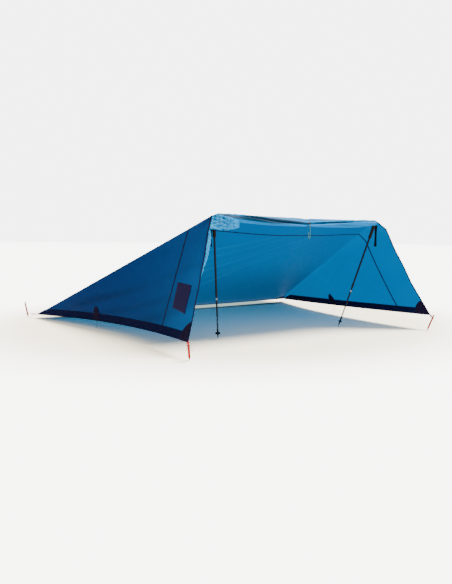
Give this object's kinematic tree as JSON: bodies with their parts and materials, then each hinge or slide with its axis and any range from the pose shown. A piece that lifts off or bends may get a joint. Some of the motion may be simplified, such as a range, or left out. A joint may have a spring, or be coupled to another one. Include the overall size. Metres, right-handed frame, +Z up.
{
  "type": "tarp shelter",
  "caption": "Open-fronted tarp shelter pitched on two trekking poles, with a sloping rear roof, side wings, staked corner ties and a rolled front flap.",
  "frame": {"origin": "on the ground, in the middle of the footprint", "axes": "+X to the right along the ridge, +Y from the open front to the rear hem, +Z up"},
  "size_m": [3.7638, 2.9789, 1.1004],
  "materials": {
    "cloth": "blue ripstop with a soft sheen",
    "brow": "turquoise ripstop, rolled",
    "hem": "navy woven tape",
    "black_webbing": "black woven webbing",
    "green_webbing": "green woven webbing",
    "label": "dark purple woven patch",
    "elastic": "yellow-green covered elastic",
    "guy_cord": "grey braided reflective cord",
    "black_plastic": "matt black",
    "grip_foam": "brown-grey textured grip",
    "black_tube": "satin black tube",
    "steel": "worn hard tip",
    "red_aluminium": "red anodised"
  },
  "bodies": {
    "canopy": {"main_fly": "cloth", "front_strip": "cloth", "front_seam": "black_webbing", "front_binding_left": "black_webbing", "front_binding_right": "black_webbing", "side_hem_left": "hem", "side_hem_right": "hem", "rear_hem": "hem", "corner_patch_front_left": "black_webbing", "corner_patch_front_right": "black_webbing", "corner_patch_rear_left": "black_webbing", "corner_patch_rear_right": "black_webbing", "mid_hem_patch_left": "black_webbing", "mid_hem_patch_right": "black_webbing", "label": "label", "rolled_brow": "brow", "brow_tie": "elastic", "brow_toggle": "black_plastic", "pole_pocket_left": "black_webbing", "pole_pocket_right": "black_webbing", "webbing_loop_front_left": "green_webbing", "webbing_loop_front_right": "green_webbing", "webbing_loop_rear_left": "green_webbing", "webbing_loop_rear_right": "green_webbing", "buckle_front_left": "black_plastic", "buckle_front_right": "black_plastic", "buckle_rear_left": "black_plastic", "buckle_rear_right": "black_plastic", "guy_cord_front_left": "guy_cord", "guy_cord_front_right": "guy_cord", "guy_cord_rear_left": "guy_cord", "guy_cord_rear_right": "guy_cord", "tie_out_cord_left": "guy_cord", "tie_out_cord_right": "guy_cord"},
    "left_pole_upper": {"grip_left": "grip_foam", "upper_shaft_left": "black_tube", "upper_collar_left": "black_plastic"},
    "left_pole_middle": {"middle_shaft_left": "black_tube", "middle_expander_left": "black_plastic"},
    "left_pole_lower": {"lower_shaft_left": "black_tube", "lower_expander_left": "black_plastic", "ferrule_left": "black_plastic", "basket_left": "black_plastic", "carbide_tip_left": "steel"},
    "left_strap": {"wrist_strap_left": "black_webbing"},
    "right_pole_upper": {"grip_right": "grip_foam", "upper_shaft_right": "black_tube", "upper_collar_right": "black_plastic"},
    "right_pole_middle": {"middle_shaft_right": "black_tube", "middle_expander_right": "black_plastic"},
    "right_pole_lower": {"lower_shaft_right": "black_tube", "lower_expander_right": "black_plastic", "ferrule_right": "black_plastic", "basket_right": "black_plastic", "carbide_tip_right": "steel"},
    "right_strap": {"wrist_strap_right": "black_webbing"},
    "front_left_stake": {"stake_front_left": "red_aluminium"},
    "front_right_stake": {"stake_front_right": "red_aluminium"},
    "rear_left_stake": {"stake_rear_left": "red_aluminium"},
    "rear_right_stake": {"stake_rear_right": "red_aluminium"}
  },
  "joints": [
    {"name": "left_pole_swing", "type": "hinge", "parent": "canopy", "child": "left_pole_upper", "pos_m": [-0.95, -1.013, 1.045], "axis": [1, 0, 0], "range_deg": [-35, 30]},
    {"name": "left_middle_slide", "type": "slide", "parent": "left_pole_upper", "child": "left_pole_middle", "axis": [0.1918, 0.2283, -0.9545], "range_m": [-0.19, 0.13]},
    {"name": "left_lower_slide", "type": "slide", "parent": "left_pole_middle", "child": "left_pole_lower", "axis": [0.1918, 0.2283, -0.9545], "range_m": [-0.1, 0.13]},
    {"name": "left_strap_swing", "type": "hinge", "parent": "left_pole_upper", "child": "left_strap", "pos_m": [-0.98, -1.013, 1.045], "axis": [1, 0, 0], "range_deg": [-40, 40]},
    {"name": "right_pole_swing", "type": "hinge", "parent": "canopy", "child": "right_pole_upper", "pos_m": [0.95, -1.013, 1.045], "axis": [1, 0, 0], "range_deg": [-35, 30]},
    {"name": "right_middle_slide", "type": "slide", "parent": "right_pole_upper", "child": "right_pole_middle", "axis": [-0.1918, 0.2283, -0.9545], "range_m": [-0.19, 0.13]},
    {"name": "right_lower_slide", "type": "slide", "parent": "right_pole_middle", "child": "right_pole_lower", "axis": [-0.1918, 0.2283, -0.9545], "range_m": [-0.1, 0.13]},
    {"name": "right_strap_swing", "type": "hinge", "parent": "right_pole_upper", "child": "right_strap", "pos_m": [0.98, -1.013, 1.045], "axis": [1, 0, 0], "range_deg": [-40, 40]},
    {"name": "front_left_stake_pull", "type": "slide", "parent": "canopy", "child": "front_left_stake", "axis": [-0.2857, -0.3886, 0.876], "range_m": [0, 0.12]},
    {"name": "front_right_stake_pull", "type": "slide", "parent": "canopy", "child": "front_right_stake", "axis": [0.2571, -0.24, 0.9361], "range_m": [0, 0.12]},
    {"name": "rear_left_stake_pull", "type": "slide", "parent": "canopy", "child": "rear_left_stake", "axis": [-0.1714, 0.0857, 0.9815], "range_m": [0, 0.12]},
    {"name": "rear_right_stake_pull", "type": "slide", "parent": "canopy", "child": "rear_right_stake", "axis": [0.1714, 0.0857, 0.9815], "range_m": [0, 0.12]}
  ]
}
